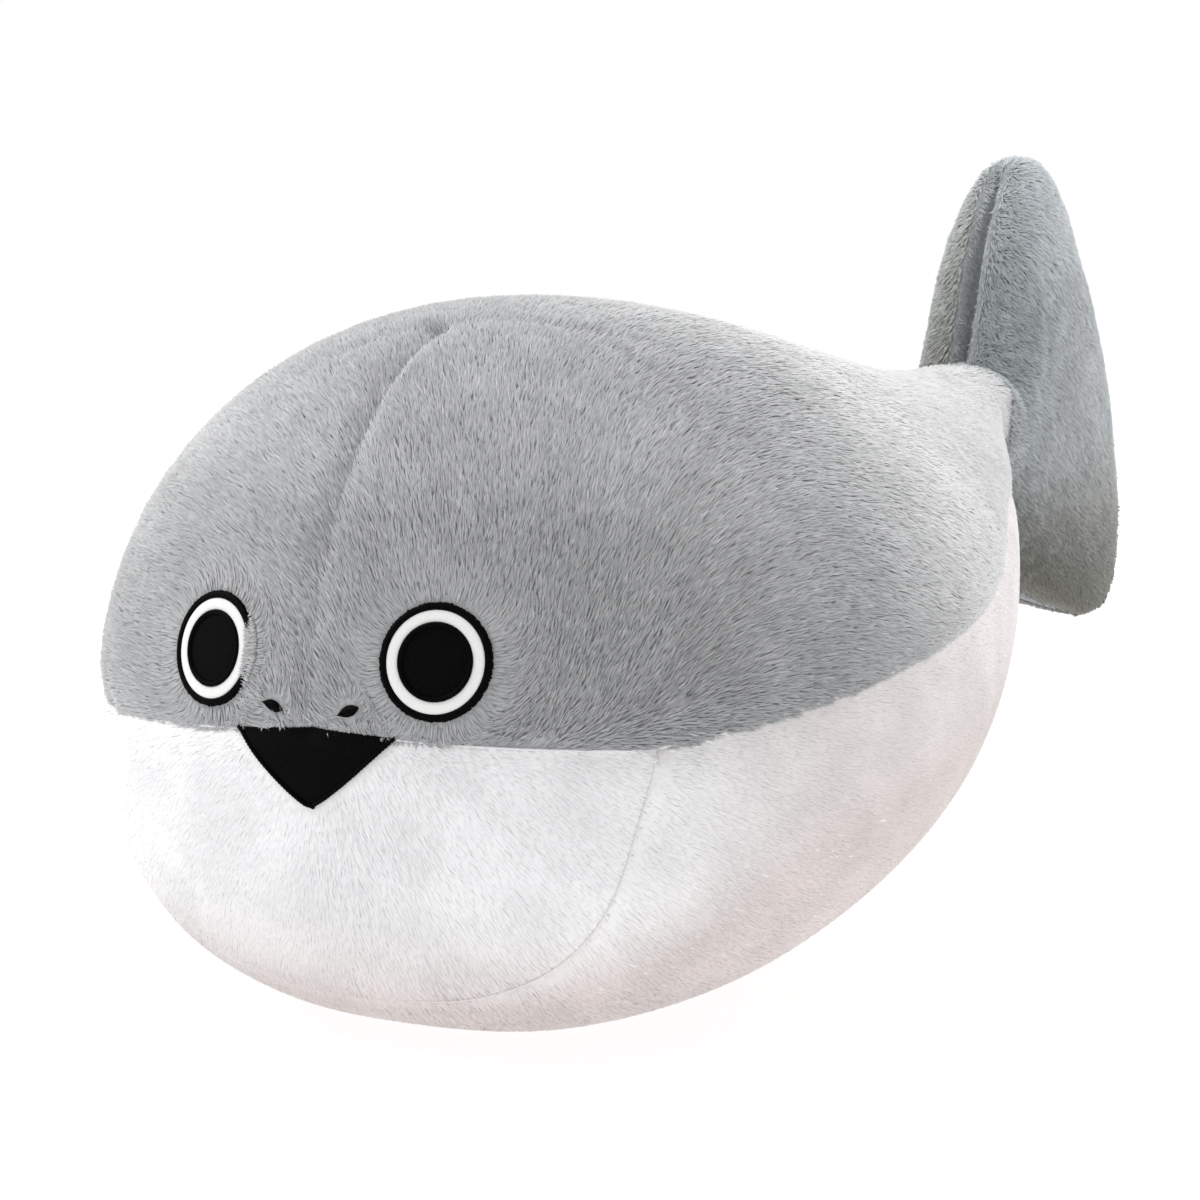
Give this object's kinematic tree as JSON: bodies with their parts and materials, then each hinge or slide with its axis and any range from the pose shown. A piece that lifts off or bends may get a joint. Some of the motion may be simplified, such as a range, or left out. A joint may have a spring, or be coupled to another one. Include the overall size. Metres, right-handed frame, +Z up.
{
  "type": "plush fish",
  "caption": "Large stuffed plush fish with a rounded two-tone body, stitched eyes and mouth, a flat resting patch and a padded tail fin that bends at its root.",
  "frame": {"origin": "middle of the object's length and width, on the surface that it rests on", "axes": "+Z up, nose towards -Y, the fish's left side towards +X"},
  "size_m": [0.2648, 0.5758, 0.2366],
  "materials": {
    "grey_pile": "short grey plush pile",
    "white_pile": "short near-white plush pile",
    "tail_pile": "short darker grey plush pile",
    "fibre_fill": "loose polyester fibre filling",
    "grey_thread": "grey sewing thread",
    "white_thread": "white sewing thread",
    "black_stitch": "black satin embroidery",
    "white_stitch": "white satin embroidery"
  },
  "bodies": {
    "body": {"face_panel_left": "grey_pile", "face_panel_right": "grey_pile", "back_panel": "grey_pile", "chin_panel": "white_pile", "belly_panel": "white_pile", "body_stuffing": "fibre_fill", "forehead_seam": "grey_thread", "crown_seam": "grey_thread", "colour_seam": "white_thread", "tail_root_seam": "grey_thread", "eye_rim_left": "black_stitch", "eye_rim_right": "black_stitch", "eye_white_left": "white_stitch", "eye_white_right": "white_stitch", "eye_pupil_left": "black_stitch", "eye_pupil_right": "black_stitch", "pupil_border_left": "black_stitch", "pupil_border_right": "black_stitch", "nostril_left": "black_stitch", "nostril_right": "black_stitch", "mouth_patch": "black_stitch", "mouth_edging": "black_stitch"},
    "tail": {"tail_panel_left": "tail_pile", "tail_panel_right": "tail_pile", "tail_stuffing": "fibre_fill", "tail_edge_seam": "grey_thread"}
  },
  "joints": [
    {"name": "tail_swish", "type": "hinge", "parent": "body", "child": "tail", "pos_m": [0, 0.1474, 0.13], "axis": [0, 0, 1], "range_deg": [-30, 30], "stiffness_Nm_per_rad": 0.6}
  ]
}
